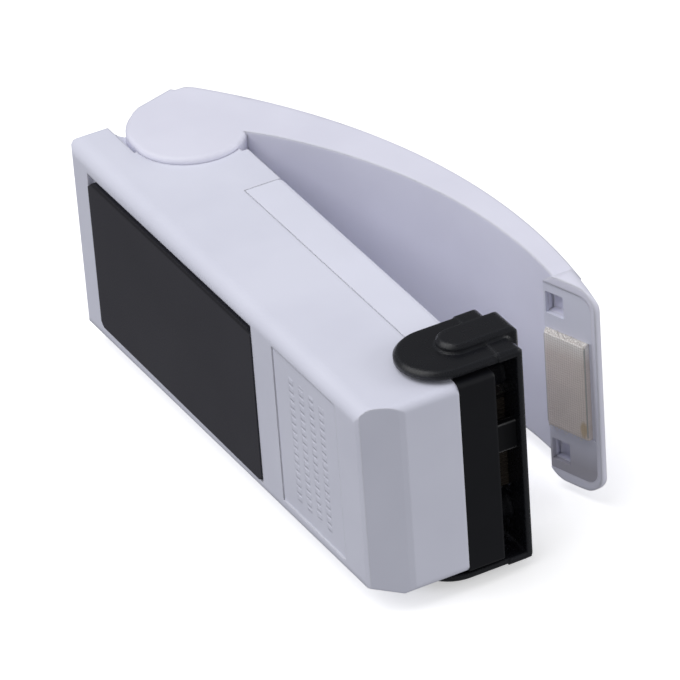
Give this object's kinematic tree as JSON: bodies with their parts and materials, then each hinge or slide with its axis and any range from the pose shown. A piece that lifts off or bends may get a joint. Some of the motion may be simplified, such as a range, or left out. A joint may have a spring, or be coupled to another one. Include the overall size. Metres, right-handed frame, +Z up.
{
  "type": "handheld bag heat sealer",
  "caption": "Handheld battery bag heat sealer: curved spring-open lever with a cloth-faced pad over a sprung black guard and heating strip, magnet sheet on the back of the body.",
  "frame": {"origin": "centre of the magnet sheet's outer face", "axes": "+X along the body toward the nose, +Y from the magnet face toward the lever, +Z across the width; lying on its side it rests with +Z up"},
  "size_m": [0.0993, 0.0473, 0.04],
  "materials": {
    "white_shell": "satin, cool white with a faint lilac tone",
    "white_tray": "matte off-white",
    "magnet": "matte dark charcoal, fine grain, flexible magnet sheet",
    "black_head": "satin black heat-resistant moulding",
    "plunger": "matte dark grey",
    "spring_steel": "bright spring wire",
    "phenolic": "black-brown laminate, matte",
    "resistance_alloy": "dull ribbon",
    "ptfe_tape": "dark tan PTFE-coated glass tape, slight sheen",
    "brass": "plain brass",
    "zinc_screw": "bright zinc",
    "nickel_contact": "bright nickel plate",
    "cell_jacket": "plain jacket over a metal cell, no marks",
    "steel_pin": "plain steel",
    "silicone": "matte grey silicone",
    "ptfe_cloth": "woven glass cloth, PTFE coated, beige, slight sheen",
    "wire_red": "red insulation",
    "wire_black": "black insulation",
    "wire_white": "white insulation"
  },
  "bodies": {
    "body": {"body_shell": "white_shell", "battery_tray": "white_tray", "magnet_sheet": "magnet", "head_block": "black_head", "guard_springs": "spring_steel", "heater_post": "phenolic", "heater_strip": "resistance_alloy", "heater_tape": "ptfe_tape", "heater_lugs": "brass", "lug_screws": "zinc_screw", "switch_leaf": "brass", "switch_contact": "brass", "cell_a": "cell_jacket", "cell_b": "cell_jacket", "battery_bridge": "nickel_contact", "contact_positive": "nickel_contact", "contact_negative": "nickel_contact", "torsion_spring": "spring_steel", "wire_positive": "wire_red", "wire_negative": "wire_black", "wire_switch": "wire_white"},
    "lever": {"lever_shell": "white_shell", "lever_cover": "white_shell", "cover_screws": "zinc_screw", "pad_holder": "white_shell", "silicone_pad": "silicone", "pad_cloth": "ptfe_cloth", "hinge_pin": "steel_pin"},
    "guard": {"guard": "black_head", "switch_plunger": "plunger"},
    "door": {"battery_door": "white_shell"}
  },
  "joints": [
    {"name": "lever_hinge", "type": "hinge", "parent": "body", "child": "lever", "pos_m": [-0.0234, 0.0168, 0], "axis": [0, 0, 1], "range_deg": [-10.5, 0], "stiffness_Nm_per_rad": 0.8, "springref_deg": 17.19, "deforming": ["torsion_spring"]},
    {"name": "guard_press", "type": "slide", "parent": "body", "child": "guard", "axis": [0, 1, 0], "range_m": [-0.0016, 0], "stiffness_N_per_m": 150, "springref_m": 0.004, "deforming": ["guard_springs", "switch_leaf"]},
    {"name": "door_tilt", "type": "hinge", "parent": "body", "child": "door", "pos_m": [0.05, 0.0175, 0], "axis": [0, 0, -1], "range_deg": [0, 4]}
  ],
  "couplings": [
    {"joint": "guard_press", "follows": "lever_hinge", "m_per_rad": 0.00873}
  ]
}
